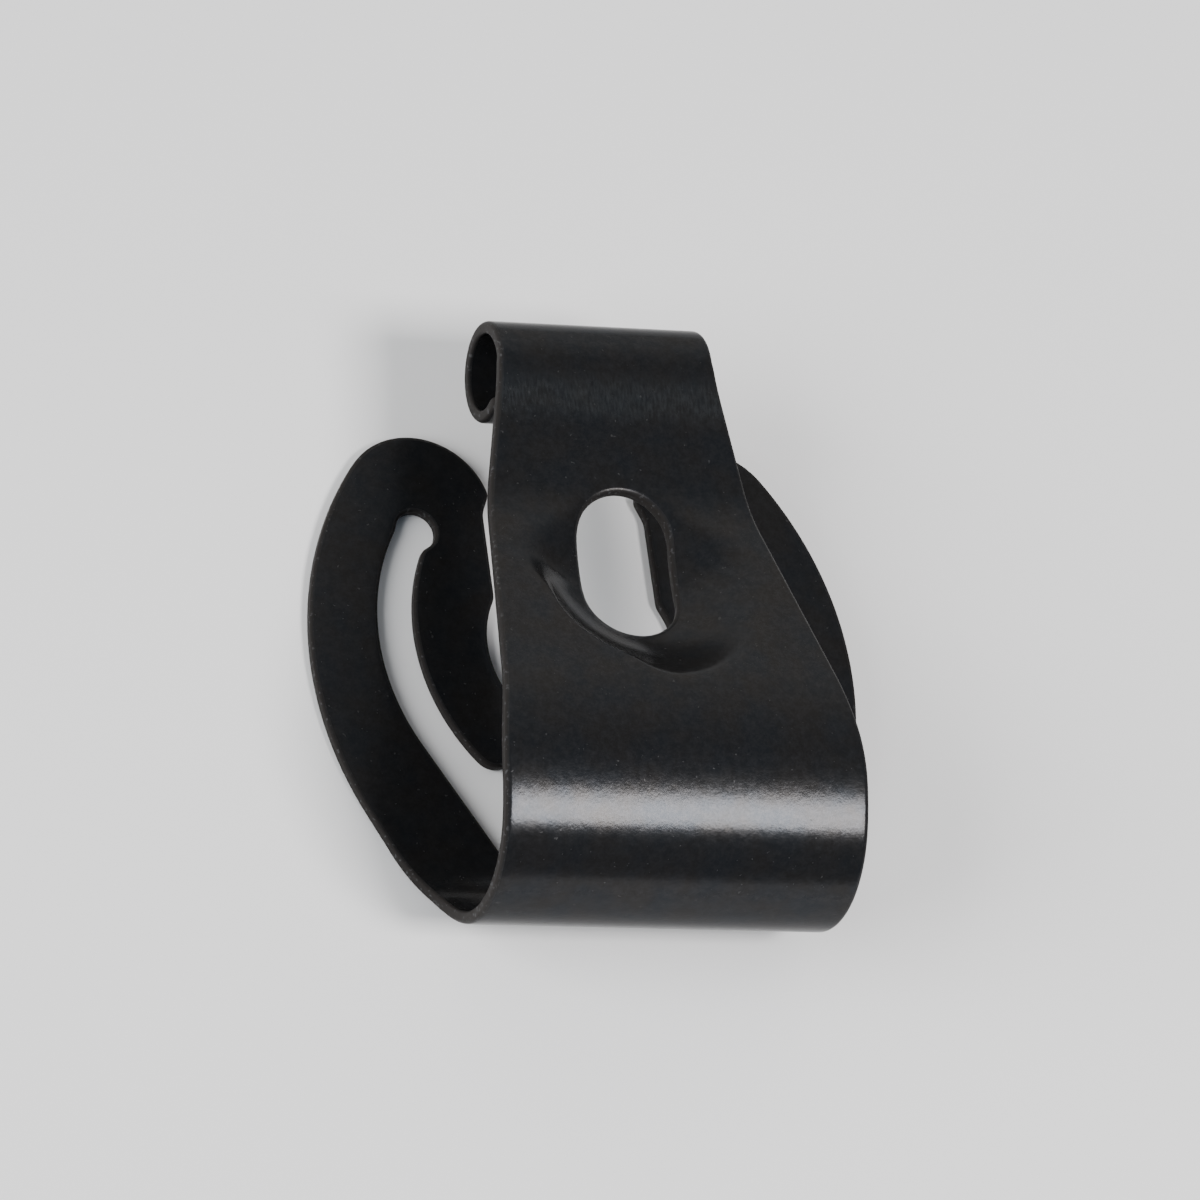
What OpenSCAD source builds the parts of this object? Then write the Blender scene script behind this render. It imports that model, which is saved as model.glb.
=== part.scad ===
// Retaining clip for a lever on a ball stud, folded from one strip of spring steel.
// The clip lies on the backs of its two arms: X runs across it, Y from the bend to the curl
// and Z up from the arms to the front leg. The origin is on the axis of the stud, on the
// plane that the arms lie on.

/* [Sheet] */
// Thickness of the spring steel
sheet_t = 0.8; // [0.6:0.05:1]

/* [Front leg] */
// Width of the leg where it comes out of the bend
bend_w = 23.7; // [22:0.1:25.5]
// Outer radius of the main bend
bend_r = 6.75; // [6.3:0.05:7.4]
// Angle through which the main bend turns
bend_turn = 154.5; // [148:0.5:160]
// Outer radius of the shoulder above the main bend
shoulder_r = 13.5; // [11:0.25:16]
// Angle at which the middle of the leg leans in towards the arms
lean_in = 17.7; // [14:0.1:20]
// Length of the straight middle of the leg
mid_len = 11.75; // [10.5:0.25:13]
// Radius of the kink above the middle, on the front face
kink_r = 7.45; // [6:0.25:9]
// Angle at which the upper leg leans out again
lean_out = 7; // [4:0.25:10]
// Length of the straight upper leg
upper_len = 7.9; // [6.5:0.1:9]
// Width of the leg at the curl
top_w = 14.2; // [12:0.1:16]
// Height up the clip, from the bend's axis, where the leg starts to narrow
taper_from = 1.6; // [0:0.1:4]
// Height up the clip, from the bend's axis, where the leg has its top width
taper_to = 28.9; // [26:0.1:31]
// Radius that eases the leg's edges in and out of the taper
taper_r = 24; // [15:1:30]

/* [Curl] */
// Outer radius of the rolled end
curl_r = 3.3; // [3.1:0.01:3.6]
// Angle through which the end is rolled
curl_turn = 305; // [250:1:310]
// Angle of the roll from which it tightens
curl_tight_turn = 165; // [120:5:200]
// Outer radius of the roll's tighter last part
curl_tight_r = 3.05; // [2.8:0.01:3.1]

/* [Slot and dish] */
// Width of the slot
slot_w = 6.15; // [4.5:0.05:7]
// Length of the slot, square to its punch
slot_len = 9.6; // [8.5:0.05:10.5]
// Angle by which the slot's punch leans from square to the leg, down towards the bend
slot_lean = 9; // [0:0.5:12]
// Distance up the straight middle to the middle of the slot
slot_at = 9.5; // [8.5:0.05:10]
// Diameter of the dish's rim on the front face
dish_d = 12.9; // [12:0.1:13.6]
// Depth of the dish
dish_depth = 2.7; // [2:0.05:2.9]
// Distance up the straight middle to the middle of the dish
dish_at = 7; // [6.6:0.05:7.4]

/* [Arms] */
// Width over both arms
arm_span = 36.2; // [35:0.1:38]
// Radius of an arm's outer edge
arm_r = 22.8; // [21:0.1:25]
// Height up the clip, from the bend's axis, at which the arms are widest
arm_at = 12.9; // [12:0.1:14]
// Angle at which the arms spread from the bend
spread = 27; // [25:0.5:30]
// Radius that eases the arms out of the bend's end
root_r = 7.5; // [5:0.25:8]
// Width of an arm at its side
arm_band = 4.6; // [4:0.05:5.2]
// Radius of an arm's inner edge
inner_r = 14.5; // [13.5:0.1:16]
// Height up the clip, from the bend's axis, at which the inner edges are widest apart
inner_at = 14.5; // [13.5:0.1:15.5]
// Angle at which the inner edges run down to the bend
inner_spread = 30; // [27:0.5:33]
// Radius of the round lobe that turns an arm into its finger
lobe_r = 4.9; // [4.6:0.05:5.4]
// Height of the lobes' tops, from the bend's axis
lobe_top = 28.35; // [27.6:0.05:29]
// How far a lobe's round top has dropped where it ends in its nose
lobe_drop = 3.8; // [3.2:0.1:4.4]
// Gap between the noses in which the two lobes end
lobe_gap = 9.9; // [9.3:0.1:10.5]
// Height over which a lobe's nose draws back to its finger's inner edge
nose_drop = 1.3; // [0.9:0.1:2]
// How far the window between the arms reaches into the bend
window_drop = 1.2; // [0.4:0.1:2.5]
// Radius in the window's lower corners
window_r = 3; // [1.5:0.25:4]

/* [Fingers] */
// Diameter of the stud's neck that the fingers hold
stud_d = 12.7; // [12.2:0.05:13.2]
// Distance from the bend's axis to the stud's axis
stud_at = 14.2; // [13.5:0.1:15]
// Gap between the fingers above and below the stud
finger_gap = 11; // [10.6:0.1:11.4]
// Width of the slit between a finger and its arm
slit_w = 2.45; // [2:0.05:2.9]
// Radius of a finger's outer edge
finger_r = 13.4; // [12.5:0.1:14.5]
// Height up the clip, from the bend's axis, at which the fingers bulge most
finger_at = 15; // [14:0.1:16]
// Radius of a finger's tip
tip_r = 1.34; // [1.1:0.02:1.6]
// Radius of the slit's round upper end
slit_end_r = 1.32; // [1.25:0.01:1.4]
// Distance of the slit's round end in from where the arm's inner edge is widest
slit_end_x = 3.36; // [3.26:0.02:3.46]
// Height of the slit's upper end, from the bend's axis
slit_top = 23.2; // [22.8:0.05:23.6]

/* [Hidden] */

// Widest angle that one straight segment of a rounded outline takes
segment_angle = 4;
// Distance by which a cutting shape runs past what it cuts
past = 1;

// Directions for the side view, whose axes run along the clip and up from the arms' backs.
// A heading is the direction in which the strip runs, with its front face on the left.
function along(heading) = [cos(heading), sin(heading)];
function out_of(heading) = [-sin(heading), cos(heading)];

// Side view
bend_heading = 180 - bend_turn;
bend_axis = [0, bend_r];
shoulder_axis = bend_axis + (bend_r - shoulder_r)*out_of(bend_heading);
mid_start = shoulder_axis + shoulder_r*out_of(-lean_in);
mid_end = mid_start + mid_len*along(-lean_in);
kink_axis = mid_end + kink_r*out_of(-lean_in);
upper_end = kink_axis - kink_r*out_of(lean_out) + upper_len*along(lean_out);
curl_axis = upper_end - curl_r*out_of(lean_out);
tight_heading = lean_out - curl_tight_turn;
tight_axis = curl_axis + (curl_r - curl_tight_r)*out_of(tight_heading);
clip_end = curl_axis[0] + curl_r;

// The dish is a ball pressed into the front face
dish_r = (pow(dish_d/2, 2) + pow(dish_depth, 2))/(2*dish_depth);
// Distance below the leg's front face that reaches past the dish
dish_reach = dish_depth + sheet_t + past;

// Plan of the arms, with the outer arc, the lobe, the finger and its tip tangent to each other
arm_centre = [arm_span/2 - arm_r, arm_at];
flank_top = arm_centre + arm_r*along(-spread);
flank_foot = [bend_w/2, flank_top[1] - (flank_top[0] - bend_w/2)/tan(spread)];
root_foot = [bend_w/2, min(-bend_r, flank_foot[1]) - root_r];
lobe_y = lobe_top - lobe_r;
lobe_angle = asin((lobe_y - arm_at)/(arm_r - lobe_r));
lobe_centre = arm_centre + (arm_r - lobe_r)*along(lobe_angle);
lobe_reach = lobe_centre[0] - lobe_gap/2;
lobe_in_r = (pow(lobe_reach, 2) + pow(lobe_drop, 2))/(2*lobe_drop);
lobe_in_centre = [lobe_centre[0], lobe_top - lobe_in_r];
lobe_end = 90 + 2*atan2(lobe_drop, lobe_reach);
inner_edge = arm_span/2 - arm_band;
inner_centre = [inner_edge - inner_r, inner_at];
window_top = inner_centre + inner_r*along(-inner_spread);
window_foot = [window_top[0] - (window_top[1] + window_drop)*tan(inner_spread), -window_drop];
finger_centre = [inner_edge - slit_w - finger_r, finger_at];
tip_angle = -acos((finger_gap/2 + tip_r - finger_centre[0])/(finger_r - tip_r));
tip_centre = finger_centre + (finger_r - tip_r)*along(tip_angle);
slit_end = [inner_edge - slit_end_x, slit_top - slit_end_r];

// Points on an arc, from one angle to another
function arc(centre, r, from, to) =
    let (steps = ceil(abs(to - from)/segment_angle))
    [for (i = [0:steps]) centre + r*along(from + (to - from)*i/steps)];

// Points that ease the corner at b, between a and c, with radius r
function unit(v) = v/norm(v);
function angle_of(v) = atan2(v[1], v[0]);
function eased(a, b, c, r) =
    let (
        u = unit(a - b),
        w = unit(c - b),
        half = acos(u*w)/2,
        centre = b + unit(u + w)*r/sin(half),
        from = angle_of(b + u*r/tan(half) - centre),
        sweep = -sign(cross(u, w))*(180 - 2*half)
    )
    arc(centre, r, from, from + sweep);

// Stations round a turn of the strip, each a point of the front face and the heading there.
// The radius is negative where the front face is on the inside of the turn.
function turn(axis, r, from, to) =
    let (steps = ceil(abs(to - from)/segment_angle))
    [for (i = [0:steps])
        let (heading = from + (to - from)*i/steps)
        [axis + r*out_of(heading), heading]];

// Side view of the strip along its stations
module strip(stations) {
    front = [for (s = stations) s[0]];
    back = [for (s = stations) s[0] - sheet_t*out_of(s[1])];
    polygon(concat(front, [for (i = [len(back) - 1:-1:0]) back[i]]));
}

// Side view carried across the clip
module across(width) {
    rotate([90, 0, 90]) linear_extrude(width, center = true) children();
}

// Outline drawn for one side, with its first and last points on the clip's middle
module both_sides(half) {
    polygon(concat(half, [for (i = [len(half) - 1:-1:0]) [-half[i][0], half[i][1]]]));
}

// Front leg from the side, from the foremost line of the bend to the end of the curl
module leg_side() {
    strip(concat(
        turn(bend_axis, bend_r, 90, bend_heading),
        turn(shoulder_axis, shoulder_r, bend_heading, -lean_in),
        turn(kink_axis, -kink_r, -lean_in, lean_out),
        turn(curl_axis, curl_r, lean_out, tight_heading),
        turn(tight_axis, curl_tight_r, tight_heading, lean_out - curl_turn)));
}

// Front leg from above
module leg_plan() {
    foot = [bend_w/2, -bend_r - past];
    low = [bend_w/2, taper_from];
    high = [top_w/2, taper_to];
    end = [top_w/2, clip_end + past];
    both_sides(concat(
        [[0, foot[1]], foot],
        eased(foot, low, high, taper_r),
        eased(low, high, end, taper_r),
        [end, [0, end[1]]]));
}

// Places children on the front face of the leg's middle, with Y up the leg and Z out of it
module on_middle(distance) {
    place = mid_start + distance*along(-lean_in);
    translate([0, place[0], place[1]]) rotate([-lean_in, 0, 0]) children();
}

module dish_ball(r) {
    on_middle(dish_at) translate([0, 0, dish_r - dish_depth]) sphere(r, $fn = 96);
}

// The dish behind the leg, kept below the middle of the sheet so that it stays off the front
module dish_back() {
    skin = sheet_t/2;
    corner = mid_end + kink_r*tan((lean_in + lean_out)/2)*along(-lean_in);
    intersection() {
        dish_ball(dish_r + sheet_t);
        across(bend_w) polygon([
            mid_start - skin*out_of(-lean_in),
            corner - skin*out_of(-lean_in),
            upper_end - skin*out_of(lean_out),
            upper_end - dish_reach*out_of(lean_out),
            corner - dish_reach*out_of(-lean_in),
            mid_start - dish_reach*out_of(-lean_in)]);
    }
}

module slot() {
    reach = (slot_len - slot_w)/2;
    on_middle(slot_at) rotate([slot_lean, 0, 0]) translate([0, 0, -2*dish_reach]) {
        translate([-slot_w/2, -reach, 0]) cube([slot_w, 2*reach, 3*dish_reach]);
        for (end = [-reach, reach])
            translate([0, end, 0]) cylinder(d = slot_w, h = 3*dish_reach, $fn = 64);
    }
}

module front_leg() {
    difference() {
        union() {
            intersection() {
                across(bend_w + 2*past) leg_side();
                linear_extrude(3*bend_r) leg_plan();
            }
            dish_back();
        }
        dish_ball(dish_r);
        slot();
    }
}

// Arms and the lower half of the bend from the side
module arms_side() {
    strip(concat(
        [[[lobe_top + past, 0], 180]],
        turn(bend_axis, bend_r, 180, 90)));
}

// Arms from above, round the outer edge to the lobe, down the finger, up its slit and back
// down the inner edge to the window
module arms_plan() {
    finger_end = asin((slit_end[1] - finger_at)/finger_r);
    inner_end = asin((slit_end[1] - inner_at)/inner_r);
    both_sides(concat(
        [[0, root_foot[1]], root_foot],
        eased(root_foot, flank_foot, flank_top, root_r),
        arc(arm_centre, arm_r, -spread, lobe_angle),
        arc(lobe_centre, lobe_r, lobe_angle, 90),
        arc(lobe_in_centre, lobe_in_r, 90, lobe_end),
        [[finger_gap/2, lobe_top - lobe_drop - nose_drop]],
        arc(tip_centre, tip_r, 180, 360 + tip_angle),
        arc(finger_centre, finger_r, tip_angle, finger_end),
        arc(inner_centre, inner_r, inner_end, -inner_spread),
        eased(window_top, window_foot, [0, -window_drop], window_r),
        [[0, -window_drop]]));
}

module arms() {
    difference() {
        intersection() {
            across(arm_span + 2*past) arms_side();
            linear_extrude(bend_r) arms_plan();
        }
        translate([0, stud_at, -past]) cylinder(d = stud_d, h = sheet_t + 2*past, $fn = 96);
        for (side = [-1, 1])
            translate([side*slit_end[0], slit_end[1], -past])
                cylinder(r = slit_end_r, h = sheet_t + 2*past, $fn = 48);
    }
}

module retaining_clip() {
    color("#2a2c30") translate([0, -stud_at, 0]) {
        arms();
        front_leg();
    }
}

retaining_clip();
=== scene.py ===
# %% [markdown]
# # A retaining clip folded from one strip of spring steel
# The clip is a single strip: it lies on its two arms, rolls up through a broad bend, comes
# back over the arms as a tapering front leg and ends in a small curl. Two hooked fingers are
# cut out of the arms. We load the packed solid first, because it fixes the size and the place
# of everything that follows.

import bpy
import numpy as np
from mathutils import Matrix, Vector
from mathutils.geometry import delaunay_2d_cdt


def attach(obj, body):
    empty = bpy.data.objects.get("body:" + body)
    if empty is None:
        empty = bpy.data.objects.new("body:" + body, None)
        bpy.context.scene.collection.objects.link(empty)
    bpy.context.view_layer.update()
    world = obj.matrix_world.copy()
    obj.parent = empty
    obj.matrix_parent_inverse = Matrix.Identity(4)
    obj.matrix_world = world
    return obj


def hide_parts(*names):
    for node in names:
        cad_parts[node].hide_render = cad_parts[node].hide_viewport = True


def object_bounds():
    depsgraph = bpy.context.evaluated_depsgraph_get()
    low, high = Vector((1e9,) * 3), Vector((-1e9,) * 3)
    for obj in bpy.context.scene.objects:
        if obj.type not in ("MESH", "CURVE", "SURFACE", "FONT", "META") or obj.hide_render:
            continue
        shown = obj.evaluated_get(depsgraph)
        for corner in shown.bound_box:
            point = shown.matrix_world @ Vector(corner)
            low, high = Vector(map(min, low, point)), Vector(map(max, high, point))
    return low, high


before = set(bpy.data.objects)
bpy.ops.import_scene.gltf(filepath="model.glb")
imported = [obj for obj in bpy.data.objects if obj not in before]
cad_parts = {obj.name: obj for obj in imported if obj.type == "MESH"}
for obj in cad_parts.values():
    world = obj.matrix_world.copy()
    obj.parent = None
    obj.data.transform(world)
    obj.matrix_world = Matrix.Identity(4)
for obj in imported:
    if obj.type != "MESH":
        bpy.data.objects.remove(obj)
solid_box = [list(corner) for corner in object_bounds()]
MM = 0.001
print("solid box in mm:", np.round(np.array(solid_box)/MM, 2).tolist())

# %% [markdown]
# ## Camera
# The photograph looks down on the front leg from the left, with the clip's bend towards us.
# A viewing direction is easier to keep than a pair of turns, so we build the camera's three
# axes directly: one towards the camera, one to the right that follows the clip's X axis, and
# one up the picture. A long lens keeps the perspective as weak as it is in the photograph.

# %% The camera's axes and place
VIEW_LEFT = 0.375         # sine of the angle by which the camera stands to the left
VIEW_TILT = 25.54         # degrees from straight above, towards the bend
VIEW_ROLL = -2.05         # degrees by which the picture is turned
VIEW_AIM = np.array([0.0, -2.706, 6.705])   # the point that the lens axis meets, in mm
VIEW_DISTANCE = 553.85    # mm
LENS, SENSOR = 270.0, 36.0
IMAGE = 1200.0            # pixels along a side of the photograph
AIM_PIXEL = np.array([622.8, 647.2])        # where VIEW_AIM is in the photograph


def unit(vector):
    """The vector divided by its length."""
    vector = np.asarray(vector, float)
    return vector/np.linalg.norm(vector)


tilt, roll = np.radians([VIEW_TILT, VIEW_ROLL])
level = np.sqrt(1 - VIEW_LEFT**2)
to_camera = np.array([-VIEW_LEFT, -level*np.sin(tilt), level*np.cos(tilt)])
flat_right = unit(np.array([1.0, 0, 0]) - to_camera[0]*to_camera)
flat_up = np.cross(to_camera, flat_right)
view_right = np.cos(roll)*flat_right - np.sin(roll)*flat_up
view_up = np.sin(roll)*flat_right + np.cos(roll)*flat_up


def placed(axes, position):
    """A 4 by 4 matrix with the three axes as columns and the position, in metres, as the last."""
    matrix = np.eye(4)
    matrix[:3, :3] = np.array(axes).T
    matrix[:3, 3] = position
    return Matrix(matrix.tolist())


camera = bpy.data.objects.new("camera", bpy.data.cameras.new("camera"))
bpy.context.collection.objects.link(camera)
camera.matrix_world = placed([view_right, view_up, to_camera],
                             (VIEW_AIM + VIEW_DISTANCE*to_camera)*MM)
camera.data.lens, camera.data.sensor_width = LENS, SENSOR
camera.data.shift_x = -(AIM_PIXEL[0]/IMAGE - 0.5)
camera.data.shift_y = AIM_PIXEL[1]/IMAGE - 0.5
bpy.context.scene.camera = camera
print("camera", np.round(np.array(camera.location), 3).tolist())

# %% [markdown]
# ## Side view: a heading for every length
# Seen from the side, the strip is a line that bends. A bender would describe it by lengths and
# angles, and so do we: the heading of the strip changes evenly along each bend and stays put
# along each straight. Adding up tiny steps in the direction of the heading draws the line.
# The front of the strip is the outside of the main bend.

# %% Path of the strip
SHEET = 0.8
BEND_R, BEND_TURN = 6.75, 154.5
SHOULDER_R, LEAN_IN, MIDDLE = 13.5, 17.7, 11.75
KINK_R, LEAN_OUT, UPPER = 7.45, 7.0, 7.9
CURL_R, CURL_TIGHT_R, CURL_TURN, CURL_TIGHT_TURN = 3.3, 3.05, 305.0, 165.0
STUD_AT = 14.2            # from the bend's axis to the origin, on the stud's axis
ARMS_END = 30.0           # a length that reaches past the arms

bend_heading = 180 - BEND_TURN
bends = [                 # length and final heading of each stretch after the arms
    (BEND_R*np.radians(BEND_TURN), bend_heading),
    (SHOULDER_R*np.radians(bend_heading + LEAN_IN), -LEAN_IN),
    (MIDDLE, -LEAN_IN),
    (KINK_R*np.radians(LEAN_IN + LEAN_OUT), LEAN_OUT),
    (UPPER, LEAN_OUT),
    (CURL_R*np.radians(CURL_TIGHT_TURN), LEAN_OUT - CURL_TIGHT_TURN),
    (CURL_TIGHT_R*np.radians(CURL_TURN - CURL_TIGHT_TURN), LEAN_OUT - CURL_TURN),
]
knots = np.concatenate([[-ARMS_END, 0], np.cumsum([length for length, _ in bends])])
headings = np.array([180.0, 180.0] + [heading for _, heading in bends])
middle_start, upper_end, strip_end = knots[[3, 6, 8]]

fine = np.linspace(-ARMS_END, strip_end, 40001)
fine_heading = np.radians(np.interp(fine, knots, headings))
steps = np.diff(fine)[:, None]*np.stack(
    [np.cos((fine_heading[1:] + fine_heading[:-1])/2),
     np.sin((fine_heading[1:] + fine_heading[:-1])/2)], axis=1)
fine_line = np.concatenate([[[ARMS_END, 0]], [[ARMS_END, 0]] + np.cumsum(steps, axis=0)])


def on_path(along):
    """Side view at each length: the point of the front face (y from the bend's axis, z) and the
    unit vector out of that face, which is the heading turned a quarter turn to the left."""
    heading = np.interp(along, fine, fine_heading)
    point = np.stack([np.interp(along, fine, fine_line[:, i]) for i in (0, 1)], axis=-1)
    return point, np.stack([-np.sin(heading), np.cos(heading)], axis=-1)


print("strip from the bend to the curl's end:", round(float(strip_end), 2), "mm")

# %% [markdown]
# ## Flat blank
# Before it was folded, the clip was a flat blank cut by a press. Its outline is made of lines
# and arcs, and we draw one half of it: across the sheet in x, and along the sheet in the same
# length that the path above is measured in. The arms' outline is drawn from above, so a short
# rule turns a height on the bend into a length round it.

# %% Lines and arcs
BEND_W, TOP_W, TAPER_FROM, TAPER_TO, TAPER_R = 23.7, 14.2, 1.6, 28.9, 24.0
ARM_SPAN, ARM_R, ARM_AT, SPREAD, ROOT_R = 36.2, 22.8, 12.9, 27.0, 7.5
ARM_BAND, INNER_R, INNER_AT, INNER_SPREAD = 4.6, 14.5, 14.5, 30.0
LOBE_R, LOBE_TOP, LOBE_DROP, LOBE_GAP, NOSE_DROP = 4.9, 28.35, 3.8, 9.9, 1.3
WINDOW_DROP, WINDOW_R = 1.2, 3.0
STUD_R, FINGER_GAP, SLIT_W = 6.35, 11.0, 2.45
FINGER_R, FINGER_AT, TIP_R = 13.4, 15.0, 1.34
SLIT_END_R, SLIT_END_IN, SLIT_TOP = 1.32, 3.36, 23.2
SLOT_W, SLOT_LEN, SLOT_AT = 6.15, 9.7, 9.48    # measured along the blank
END_R = 0.45              # corners of the curl's free end


def direction(degrees):
    """Unit vectors at the given angles, in degrees from the x axis."""
    angle = np.radians(degrees)
    return np.stack([np.cos(angle), np.sin(angle)], axis=-1)


def arc(centre, r, start, end):
    """Points on a circle from one angle to another: centre + r times the direction."""
    return np.array(centre) + r*direction(np.linspace(start, end, 60))


def eased(a, b, c, r):
    """The corner at b, between a and c, rounded by an arc that touches both sides."""
    a, b, c = np.array(a), np.array(b), np.array(c)
    u, w = unit(a - b), unit(c - b)
    half = np.arccos(u @ w)/2
    centre = b + unit(u + w)*r/np.sin(half)
    start = np.degrees(np.arctan2(*(b + u*r/np.tan(half) - centre)[::-1]))
    sweep = -np.sign(u[0]*w[1] - u[1]*w[0])*(180 - np.degrees(2*half))
    return arc(centre, r, start, start + sweep)


def blank_length(y):
    """Length along the strip of a height y on the arms: round the bend below its axis."""
    return np.where(y < 0, BEND_R*np.arcsin(np.clip(-y/BEND_R, 0, 1)), -y)


print("points on an arc:", len(arc([0, 0], 1, 0, 90)))

# %% Half of the outline, seen from above
arm_centre = np.array([ARM_SPAN/2 - ARM_R, ARM_AT])
flank_top = arm_centre + ARM_R*direction(-SPREAD)
flank_foot = np.array([BEND_W/2, flank_top[1] - (flank_top[0] - BEND_W/2)/np.tan(np.radians(SPREAD))])
lobe_angle = np.degrees(np.arcsin((LOBE_TOP - LOBE_R - ARM_AT)/(ARM_R - LOBE_R)))
lobe_centre = arm_centre + (ARM_R - LOBE_R)*direction(lobe_angle)
lobe_reach = lobe_centre[0] - LOBE_GAP/2
lobe_in_r = (lobe_reach**2 + LOBE_DROP**2)/(2*LOBE_DROP)
lobe_end = 90 + 2*np.degrees(np.arctan2(LOBE_DROP, lobe_reach))
inner_edge = ARM_SPAN/2 - ARM_BAND
inner_centre = np.array([inner_edge - INNER_R, INNER_AT])
window_top = inner_centre + INNER_R*direction(-INNER_SPREAD)
window_foot = np.array([window_top[0] - (window_top[1] + WINDOW_DROP)*np.tan(np.radians(INNER_SPREAD)),
                        -WINDOW_DROP])
finger_centre = np.array([inner_edge - SLIT_W - FINGER_R, FINGER_AT])
tip_angle = -np.degrees(np.arccos((FINGER_GAP/2 + TIP_R - finger_centre[0])/(FINGER_R - TIP_R)))
tip_centre = finger_centre + (FINGER_R - TIP_R)*direction(tip_angle)
slit_end = np.array([inner_edge - SLIT_END_IN, SLIT_TOP - SLIT_END_R])
seat_angle = np.degrees(np.arccos(FINGER_GAP/2/STUD_R))


def meeting(centre, r, other_centre, other_r, side):
    """Angle on the first circle where it meets the second, by the law of cosines in the
    triangle of the two centres and the meeting point; side says which of the two."""
    to_other = other_centre - centre
    apart = np.linalg.norm(to_other)
    open_by = np.arccos((apart**2 + r**2 - other_r**2)/(2*apart*r))
    return np.degrees(np.arctan2(to_other[1], to_other[0]) + side*open_by) % 360


neck = meeting(slit_end, SLIT_END_R, finger_centre, FINGER_R, 1)
brow = meeting(slit_end, SLIT_END_R, inner_centre, INNER_R, 1)
finger_end = meeting(finger_centre, FINGER_R, slit_end, SLIT_END_R, -1)
inner_end = meeting(inner_centre, INNER_R, slit_end, SLIT_END_R, -1)

arms_half = np.concatenate([
    eased([BEND_W/2, -2*BEND_R], flank_foot, flank_top, ROOT_R),
    arc(arm_centre, ARM_R, -SPREAD, lobe_angle),
    arc(lobe_centre, LOBE_R, lobe_angle, 90),
    arc([lobe_centre[0], LOBE_TOP - lobe_in_r], lobe_in_r, 90, lobe_end),
    [[FINGER_GAP/2, LOBE_TOP - LOBE_DROP - NOSE_DROP]],
    arc([0, STUD_AT], STUD_R, seat_angle, -seat_angle),
    arc(tip_centre, TIP_R, 180, 360 + tip_angle),
    arc(finger_centre, FINGER_R, tip_angle, finger_end),
    arc(slit_end, SLIT_END_R, neck, brow),
    arc(inner_centre, INNER_R, inner_end, -INNER_SPREAD),
    eased(window_top, window_foot, [0, -WINDOW_DROP], WINDOW_R),
])
arms_blank = np.stack([arms_half[:, 0], blank_length(arms_half[:, 1])], axis=1)

leg_low, leg_high = [BEND_W/2, TAPER_FROM], [TOP_W/2, TAPER_TO]
leg_edge = np.concatenate([
    [[BEND_W/2, -2*BEND_R]],
    eased([BEND_W/2, -2*BEND_R], leg_low, leg_high, TAPER_R),
    eased(leg_low, leg_high, [TOP_W/2, 2*TAPER_TO], TAPER_R),
    [[TOP_W/2, 2*TAPER_TO]]])
end_corner = np.array([TOP_W/2, strip_end])
leg_along = np.linspace(strip_end - END_R, arms_blank[0, 1], 400)
leg_y = on_path(leg_along)[0][:, 0]
leg_half = np.where(leg_along > upper_end, TOP_W/2, np.interp(leg_y, leg_edge[:, 1], leg_edge[:, 0]))
half_blank = np.concatenate([
    eased(end_corner - [TOP_W/2, 0], end_corner, end_corner - [0, TOP_W], END_R),
    np.stack([leg_half, leg_along], axis=1), arms_blank])
print("points on half of the blank:", len(half_blank))

# %% [markdown]
# ## Even loops with worn corners
# A press leaves no perfectly sharp corner in an outline. We space each loop evenly, and blur
# it along its own length, which rounds every corner by a few tenths of a millimetre and
# leaves the long arcs where they are. The blur is one multiplication of the loop's
# frequencies, so no corner needs a rule of its own.

# %% Closed loops of the outline and the slot
CORNER_BLUR, LOOP_STEP = 0.2, 0.2


def even_loop(points, blur, step):
    """Closed loop spaced evenly, each point the bell-shaped mean of its neighbours along it."""
    closed = np.concatenate([points, points[:1]])
    run = np.concatenate([[0], np.cumsum(np.linalg.norm(np.diff(closed, axis=0), axis=1))])
    count = int(run[-1]/step)*4
    at = np.arange(count)*run[-1]/count
    loop = np.interp(at, run, closed[:, 0]) + 1j*np.interp(at, run, closed[:, 1])
    waves = np.fft.fftfreq(count, run[-1]/count)
    loop = np.fft.ifft(np.fft.fft(loop)*np.exp(-0.5*(2*np.pi*waves*blur)**2))[::4]
    return np.stack([loop.real, loop.imag], axis=1)


def left_normals(loop):
    """Unit normals on the left of a closed loop, from the chord between each point's neighbours."""
    chord = np.roll(loop, -1, axis=0) - np.roll(loop, 1, axis=0)
    chord /= np.linalg.norm(chord, axis=1, keepdims=True)
    return np.stack([-chord[:, 1], chord[:, 0]], axis=1)


def counter_clockwise(loop):
    """The loop, turned round if its signed area is negative."""
    x, y = loop.T
    area = np.sum(x*np.roll(y, -1) - y*np.roll(x, -1))
    return loop if area > 0 else loop[::-1]


mirrored = half_blank[::-1]*[-1, 1]
outline = counter_clockwise(even_loop(np.concatenate([half_blank, mirrored]), CORNER_BLUR, LOOP_STEP))
slot_reach = (SLOT_LEN - SLOT_W)/2
slot_middle = np.array([0, middle_start + SLOT_AT])
slot = np.concatenate([arc(slot_middle + [0, slot_reach], SLOT_W/2, 0, 180),
                       arc(slot_middle - [0, slot_reach], SLOT_W/2, 180, 360)])
slot = counter_clockwise(even_loop(slot, CORNER_BLUR/2, LOOP_STEP))[::-1]
loops = [outline, slot]   # the steel is on the left of both
print("loop points:", [len(loop) for loop in loops])

# %% [markdown]
# ## Rolled edges
# A press rolls the edge of the sheet over on the side where the punch comes in, shears the
# middle of the thickness flat and leaves a smaller round on the far side. That soft shoulder
# catches the light all round the clip, so it has to be in the mesh. The profile below is a
# list of distances in from the cut and depths below the front face; each step makes one more
# loop, and the loops are joined by strips of faces.

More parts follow.
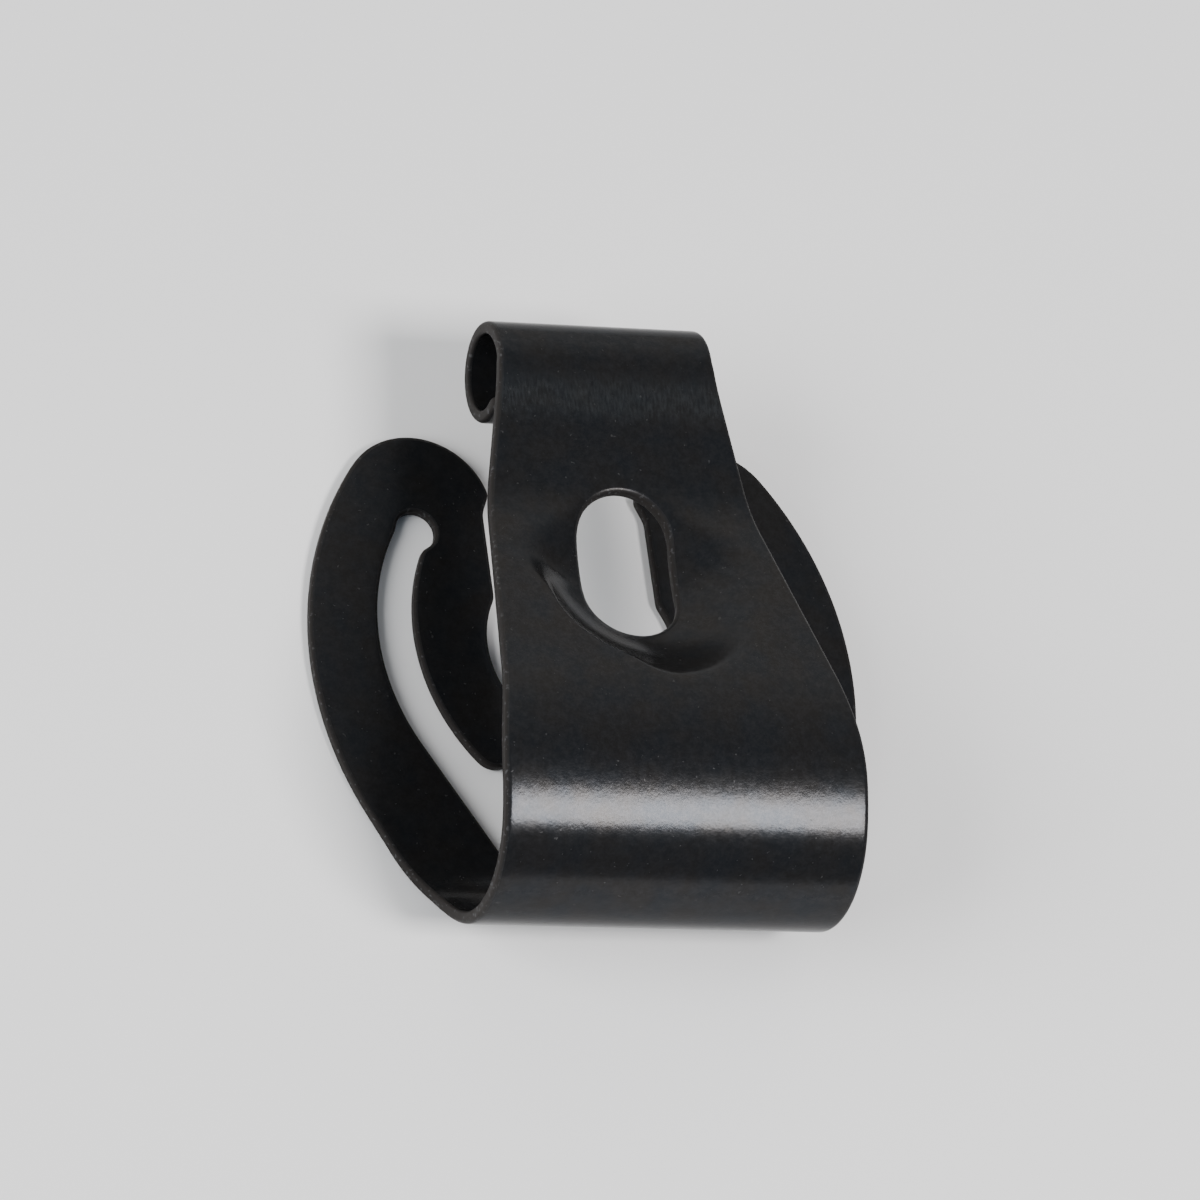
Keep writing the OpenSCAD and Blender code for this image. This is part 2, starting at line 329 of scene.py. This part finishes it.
# %% Profile of the cut edge
ROLL_IN, ROLL_DOWN = 0.34, 0.26     # soft shoulder on the front
BACK_IN, BACK_UP = 0.2, 0.16        # smaller round on the back
quarter = np.radians(np.linspace(90, 0, 7))
roll_front = np.stack([ROLL_IN*(1 - np.cos(quarter)), ROLL_DOWN*(1 - np.sin(quarter))], axis=1)
roll_back = np.stack([BACK_IN*(1 - np.cos(quarter[::-1])),
                      SHEET - BACK_UP*(1 - np.sin(quarter[::-1]))], axis=1)
edge_profile = np.concatenate([roll_front, roll_back])
print("edge profile, in and down, mm:", np.round(edge_profile, 2).tolist())

# %% [markdown]
# ## Inside points
# The wide faces need points inside the outline, or the bends would have nothing to bend at.
# A regular grid is laid over the blank, and only the points that lie well inside the steel
# are kept. A point is inside when the loops turn once round it, which is the sum of the
# angles that their segments make from it.

# %% Grid over the blank
GRID = 0.3
CLEAR = 0.2               # nearest a grid point comes to the edge's innermost loop


def turns_and_gap(points, round_loops):
    """How many times the loops turn round each point, and how far it is from the nearest one."""
    turns, gap = np.zeros(len(points)), np.full(len(points), np.inf)
    for loop in round_loops:
        for part in np.array_split(np.arange(len(points)), 40):
            ray = loop[None] - points[part, None]
            ahead = np.roll(ray, -1, axis=1)
            cross = ray[..., 0]*ahead[..., 1] - ray[..., 1]*ahead[..., 0]
            turns[part] += np.sum(np.arctan2(cross, np.sum(ray*ahead, axis=2)), axis=1)/(2*np.pi)
            gap[part] = np.minimum(gap[part], np.sqrt(np.min(np.sum(ray**2, axis=2), axis=1)))
    return turns, gap


low, high = outline.min(axis=0), outline.max(axis=0)
columns = np.arange(0, high[0], GRID)
columns = np.concatenate([-columns[:0:-1], columns])
rows = np.arange(low[1], high[1], GRID)
grid = np.stack(np.meshgrid(columns, rows), axis=-1).reshape(-1, 2)
turns, gap = turns_and_gap(grid, loops)
kept = (turns > 0.5) & (gap > ROLL_IN + CLEAR)
inside, inside_gap = grid[kept], gap[kept]
print("grid points kept:", len(inside), "of", len(grid))

# %% [markdown]
# ## Dish
# The middle of the leg was pressed in by a round-nosed punch before the slot was cut, or with
# it. Where a point of the front face would lie inside the punch's ball, it is pushed along
# the punch's stroke to the ball's surface. A plain switch between pushed and not pushed would
# leave a knife-sharp rim, so the push grows smoothly from zero instead. The photograph shows
# a crisp rim at the lower left and a soft one elsewhere, so the softness changes round the
# rim. Above the slot a wide blend would catch the light as a bright spot, so it is shorter.

# %% Fold the blank and press the dish
DISH_D, DISH_DEPTH, DISH_AT, STROKE_LEAN = 12.9, 2.7, 7.0, 9.0
RIM_CRISP, RIM_TOP, RIM_SOFT = 0.25, 0.9, 3.6     # softness at the lower left, above, elsewhere
CRISP_STRETCH = 216, 26, 60     # degrees round the rim: its middle, half of it, and where it has faded
TOP_STRETCH = 90, 35, 75        # the same for the shorter blend above the slot
PUSH_BELOW = 4.0                # how far below the leg's straight middle the push may reach, in mm
dish_r = ((DISH_D/2)**2 + DISH_DEPTH**2)/(2*DISH_DEPTH)
dish_foot, out_of_leg = (side[0] for side in on_path(np.array([middle_start + DISH_AT])))
ball = np.array([0, *dish_foot]) + (dish_r - DISH_DEPTH)*np.array([0, *out_of_leg])
stroke_turn = np.radians(STROKE_LEAN - LEAN_IN)
stroke = np.array([0, np.sin(stroke_turn), -np.cos(stroke_turn)])     # the way the punch moves


def away(turn, middle, half, end):
    """A smooth step from 0, within half of the middle angle, to 1 from end on, all in degrees."""
    off = np.abs((turn - middle + 180) % 360 - 180)
    v = np.clip((off - half)/(end - half), 0, 1)
    return v*v*(3 - 2*v)


def folded(blank, depth):
    """Place of blank points at a depth below the front face: the path's point at that length,
    less depth times the way out of the face, plus the push of the dish. With g for how deep the
    point is in the ball along the stroke, the push is 0 while g is below -w, g while it is above
    w, and w(2u^3 - u^4) between them, where u goes from 0 to 1. The softness w goes by smooth
    steps from crisp to soft with the angle round the rim."""
    point, out = on_path(blank[:, 1])
    front = np.concatenate([blank[:, :1], point], axis=1)
    place = front - np.asarray(depth).reshape(-1, 1)*np.concatenate([np.zeros((len(out), 1)), out], axis=1)
    from_ball = front - ball
    height = -from_ball @ stroke
    aside = np.sum((from_ball + height[:, None]*stroke)**2, axis=1)
    deep = height + np.sqrt(np.maximum(dish_r**2 - aside, 0))
    rim_turn = np.degrees(np.arctan2(blank[:, 1] - middle_start - DISH_AT, blank[:, 0]))
    softness = RIM_CRISP + (RIM_SOFT - RIM_CRISP)*away(rim_turn, *CRISP_STRETCH)
    softness = RIM_TOP + (softness - RIM_TOP)*away(rim_turn, *TOP_STRETCH)
    u = np.clip(0.5 + 0.5*deep/softness, 0, 1)
    push = np.where(deep > softness, deep, softness*(2*u**3 - u**4))
    on_leg = (blank[:, 1] > middle_start - PUSH_BELOW) & (blank[:, 1] < upper_end) & (aside < dish_r**2)
    return place + np.where(on_leg, push, 0)[:, None]*stroke


print("punch radius in mm:", round(float(dish_r), 2), "stroke:", np.round(stroke, 3).tolist())

# %% [markdown]
# ## One closed mesh
# Blender can fill a flat region between loops with triangles that also use the points inside
# it. We fill the blank once for the front and once for the back, join the two fills by the
# strips of the rolled edge, and only then fold everything. The result is one closed skin.

# %% Fill, join and fold
def filled(boundary_loops, points):
    """Triangles between closed loops that use the given inside points as well; the loops'
    points come first, then the inside points. Triangles whose middle the loops don't turn
    round lie in a gap or a hole, and are dropped."""
    flat = np.concatenate(boundary_loops + [points])
    starts = np.cumsum([0] + [len(loop) for loop in boundary_loops])
    edges = np.concatenate([
        first + np.stack([np.arange(len(loop)), np.roll(np.arange(len(loop)), -1)], axis=1)
        for first, loop in zip(starts, boundary_loops)])
    made = delaunay_2d_cdt(flat.tolist(), edges.tolist(), [], 1, 1e-7, True)
    origin = np.array([ids[0] for ids in made[3]])
    found = origin[np.array(made[2])]
    return found[turns_and_gap(flat[found].mean(axis=1), boundary_loops)[0] > 0.5]


normals = [left_normals(loop) for loop in loops]
rings = [[loop + inset*normal for loop, normal in zip(loops, normals)] for inset, _ in edge_profile]
ring_size = sum(len(loop) for loop in loops)
ring_count = len(rings)
front_tris = filled(rings[0], inside)
back_tris = filled(rings[-1], inside)

flat_points = np.concatenate([np.concatenate(ring) for ring in rings] + [inside, inside])
depths = np.concatenate([np.repeat(edge_profile[:, 1], ring_size),
                         np.zeros(len(inside)), np.full(len(inside), SHEET)])
edge_gap = np.concatenate([np.repeat(edge_profile[:, 0], ring_size), inside_gap, inside_gap])
first_inside = ring_count*ring_size


def numbered(triangles, ring, first):
    """Triangles of a fill with their numbers changed to those of the whole mesh."""
    return np.where(triangles < ring_size, triangles + ring*ring_size, triangles - ring_size + first)


strips = []
for first, loop in zip(np.cumsum([0] + [len(loop) for loop in loops]), loops):
    here = first + np.arange(len(loop))
    ahead = first + (np.arange(len(loop)) + 1) % len(loop)
    down = ring_size*np.arange(ring_count - 1)[:, None]
    strips.append(np.stack([here + down, here + down + ring_size,
                            ahead + down + ring_size, ahead + down], axis=-1).reshape(-1, 4))
quads = np.concatenate(strips)
triangles = np.concatenate([numbered(front_tris, 0, first_inside),
                            numbered(back_tris, ring_count - 1, first_inside + len(inside))[:, ::-1]])
places = (folded(flat_points, depths) - [0, STUD_AT, 0])*MM
# True arcs bulge a little past the solid's facets, so the skin is drawn in to the solid's box
places *= np.minimum(1, np.array(solid_box[1])/places.max(axis=0))
print("triangles:", len(triangles), "quads:", len(quads), "points:", len(places))

# %% Put the skin into a mesh
mesh = bpy.data.meshes.new("clip_sheet")
mesh.from_pydata(places.tolist(), [], triangles.tolist() + quads.tolist())
mesh.polygons.foreach_set("use_smooth", np.ones(len(mesh.polygons), bool))
for name, values in (("along", flat_points[:, 1]), ("edge_gap", edge_gap)):
    mesh.attributes.new(name, "FLOAT", "POINT").data.foreach_set("value", values.astype(np.float32))
mesh.validate()
mesh.update()
clip = bpy.data.objects.new("clip_sheet", mesh)
bpy.context.collection.objects.link(clip)
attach(clip, "root")
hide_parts("retaining_clip")
print("faces:", len(mesh.polygons))

# %% [markdown]
# ## Shader maths as Python
# A node tree is easier to read as an expression. The class below wraps one output of a node:
# plus, minus and times add Math nodes, and one method adds any other node.

# %% A wire between shader nodes
class Wire:
    """An output of a shader node, with the operators that the finish below needs."""

    def __init__(self, tree, socket=None):
        self.tree, self.socket = tree, socket

    def node(self, kind, settings=None, inputs=None, output=0):
        """Adds a node: its settings are set first, then its inputs are linked or given values."""
        made = self.tree.nodes.new(kind)
        for name, value in (settings or {}).items():
            if name == "stops":
                ramp = made.color_ramp
                while len(ramp.elements) < len(value):
                    ramp.elements.new(1.0)
                for element, (position, colour) in zip(ramp.elements, value):
                    element.position, element.color = position, (*colour, 1)
            else:
                setattr(made, name, value)
        for name, value in (inputs or {}).items():
            if isinstance(value, Wire):
                self.tree.links.new(value.socket, made.inputs[name])
            else:
                made.inputs[name].default_value = value
        return Wire(self.tree, made.outputs[output] if made.outputs else None)

    def math(self, operation, a, b=0.0):
        """One Math node on two values."""
        return self.node("ShaderNodeMath", {"operation": operation}, {0: a, 1: b})

    def __add__(self, other):
        return self.math("ADD", self, other)

    def __sub__(self, other):
        return self.math("SUBTRACT", self, other)

    def __rsub__(self, other):
        return self.math("SUBTRACT", other, self)

    def __mul__(self, other):
        return self.math("MULTIPLY", self, other)

    __radd__, __rmul__ = __add__, __mul__


print("node makers:", [name for name in vars(Wire) if not name.startswith("_")])

# %% [markdown]
# ## Blackened steel
# The strip was hardened and then blackened in a hot bath, which leaves a thin dark oxide that
# mirrors softly. It isn't even: the bath leaves clouds of blue and brown, the rolled sheet
# has a fine grain, and the cut edges are browner and rougher, with light chips where the
# oxide has come off. A band below the curl has hairline rub marks from what has slid over
# it, and the same band is painted lighter grey as a painted highlight.

# %% Finish of the steel
BROWN_BLACK, BLUE_BLACK = (0.0238, 0.0229, 0.0226, 1), (0.0204, 0.0222, 0.0250, 1)
GRAIN_GREY = (0.038, 0.038, 0.040, 1)
steel = bpy.data.materials.new("blackened_steel")
steel.use_nodes = True
tree = steel.node_tree
tree.nodes.clear()
start = Wire(tree)
spot = start.node("ShaderNodeTexCoord", output="Object")
edge = start.node("ShaderNodeAttribute", {"attribute_name": "edge_gap"}, output="Fac")
along = start.node("ShaderNodeAttribute", {"attribute_name": "along"}, output="Fac")
across = start.node("ShaderNodeSeparateXYZ", {}, {"Vector": spot}, "X")


def noise(size_mm, detail=3.0, rough=0.55):
    """Noise whose clouds are about the given size, in mm."""
    return start.node("ShaderNodeTexNoise", {}, {
        "Vector": spot, "Scale": 1/(size_mm*MM), "Detail": detail, "Roughness": rough}, "Fac")


def ramp(value, low, high, at_low=0.0, at_high=1.0):
    """A value that goes evenly from at_low to at_high while the input goes from low to high."""
    return start.node("ShaderNodeMapRange", {}, {
        "Value": value, "From Min": low, "From Max": high, "To Min": at_low, "To Max": at_high})


def blend(factor, a, b):
    """A mix of two colours."""
    return start.node("ShaderNodeMix", {"data_type": "RGBA"}, {"Factor": factor, "A": a, "B": b}, "Result")


clouds, mottle, grain = noise(2.6), noise(0.5, 4.0, 0.65), noise(0.16, 2.0)
tint = blend(ramp(clouds, 0.38, 0.62), BROWN_BLACK, BLUE_BLACK)
tint = blend(ramp(mottle*0.6 + grain*0.4, 0.42, 0.68)*0.6, tint, GRAIN_GREY)
cut = ramp(edge + (mottle - 0.5)*0.16, 0.04, 0.28, 1.0, 0.0)
specks = ramp(noise(0.3, 1.0), 0.73, 0.79)
print("nodes of the bare finish:", len(tree.nodes))

# %% Marks of use, and a painted highlight below the curl
# The band below the curl carries real rub marks and is also painted lighter as a highlight.
RUB_SHEEN_BELOW_CURL = 2.4      # mm from the curl down to the middle of the rubbed band
HAIR = 0.16               # width of a rubbed hairline, in mm
RUBBED_SHEEN_GREY, SPECK_GREY = (0.052, 0.057, 0.060, 1), (0.08, 0.08, 0.08, 1)
CUT_BROWN, CHIP_STEEL = (0.022, 0.020, 0.019, 1), (0.09, 0.092, 0.096, 1)
from_band = along - (upper_end - RUB_SHEEN_BELOW_CURL) + (mottle - 0.5)*1.2
rubbed_and_sheen = ramp(start.math("ABSOLUTE", from_band), 0.6, 1.8, 1.0, 0.0)
lanes = start.node("ShaderNodeCombineXYZ", {}, {"X": across*(1/(HAIR*MM)), "Y": along*1.5})
hairs = start.node("ShaderNodeTexNoise", {}, {"Vector": lanes, "Scale": 1.0, "Detail": 3.0}, "Fac")
rubbed_and_sheen = rubbed_and_sheen*ramp(hairs, 0.25, 0.75)
chips = cut*ramp(noise(0.28, 2.0), 0.6, 0.68)
# Painted highlight: the rubbed band is blended towards a lighter grey, on top of its rub marks.
colour = blend(rubbed_and_sheen*0.55, tint, RUBBED_SHEEN_GREY)
colour = blend(specks*0.4, colour, SPECK_GREY)
colour = blend(cut, colour, CUT_BROWN)
colour = blend(chips*0.6, colour, CHIP_STEEL)
roughness = 0.16 + mottle*0.1 + rubbed_and_sheen*0.12 + specks*0.2 + cut*0.3
bump = start.node("ShaderNodeBump", {}, {
    "Strength": 0.16, "Distance": 0.04*MM, "Height": grain*0.6 + mottle*1.3})
shader = start.node("ShaderNodeBsdfPrincipled", {}, {
    "Base Color": colour, "Metallic": 0.67 - cut*0.3, "Roughness": roughness, "Normal": bump,
    "Specular IOR Level": 0.12, "Specular Tint": (0.55, 0.55, 0.55, 1)})
start.node("ShaderNodeOutputMaterial", {}, {"Surface": shader})
mesh.materials.append(steel)
print("nodes in the finish:", len(tree.nodes))

# %% [markdown]
# ## Floor and light
# A pale floor stands for the white ground of the photograph. One soft panel is placed where
# the bend mirrors it to the camera, and a large one lights the floor from the left. Seen from
# the right, the whole clip would mirror that large lamp and look like bright metal, so it is
# left out of glossy reflections. The sky is brighter behind the clip, which the leg mirrors.

# %% Floor
floor_mesh = bpy.data.meshes.new("floor")
floor_mesh.from_pydata([(-2, -2, 0), (2, -2, 0), (2, 2, 0), (-2, 2, 0)], [], [(0, 1, 2, 3)])
floor = bpy.data.objects.new("floor", floor_mesh)
bpy.context.collection.objects.link(floor)
paint = bpy.data.materials.new("pale_floor")
paint.use_nodes = True
paint.node_tree.nodes["Principled BSDF"].inputs["Base Color"].default_value = (0.86, 0.86, 0.86, 1)
paint.node_tree.nodes["Principled BSDF"].inputs["Roughness"].default_value = 0.9
floor_mesh.materials.append(paint)
print("floor:", [round(side, 2) for side in floor.dimensions], "m")


# %% Lamps
def panel(name, way, distance, width, height, watts):
    """A rectangular lamp in the given direction from the clip, facing it, its width along X."""
    way = unit(way)
    side = unit(np.array([1, 0, 0]) - way[0]*way)
    lamp = bpy.data.lights.new(name, "AREA")
    lamp.shape, lamp.size, lamp.size_y, lamp.energy = "RECTANGLE", width, height, watts
    holder = bpy.data.objects.new(name, lamp)
    bpy.context.collection.objects.link(holder)
    holder.matrix_world = placed([side, np.cross(way, side), way], way*distance)
    return holder


mirror_turn = np.radians(24.0)        # from straight up, towards the bend
mirror_way = (VIEW_LEFT, -level*np.sin(mirror_turn), level*np.cos(mirror_turn))
panel("bend_panel", mirror_way, 0.45, 0.16, 0.13, 2.2).data.color = (1.0, 0.975, 0.965)
panel("left_panel", (-0.9, -0.1, 0.45), 0.9, 0.7, 0.7, 14.0).visible_glossy = False
world = bpy.data.worlds.new("studio")
world.use_nodes = True
bpy.context.scene.world = world
sky = Wire(world.node_tree)
sky_way = sky.node("ShaderNodeTexCoord", output="Generated")
sky_back = sky.node("ShaderNodeSeparateXYZ", {}, {"Vector": sky_way}, "Y")
glow = sky.node("ShaderNodeValToRGB", {"stops": [
    (0.0, (0.15, 0.18, 0.22)), (0.25, (0.15, 0.17, 0.20)), (0.8, (0.98, 0.94, 0.88))]}, {"Fac": sky_back})
world.node_tree.links.new(glow.socket, world.node_tree.nodes["Background"].inputs["Color"])
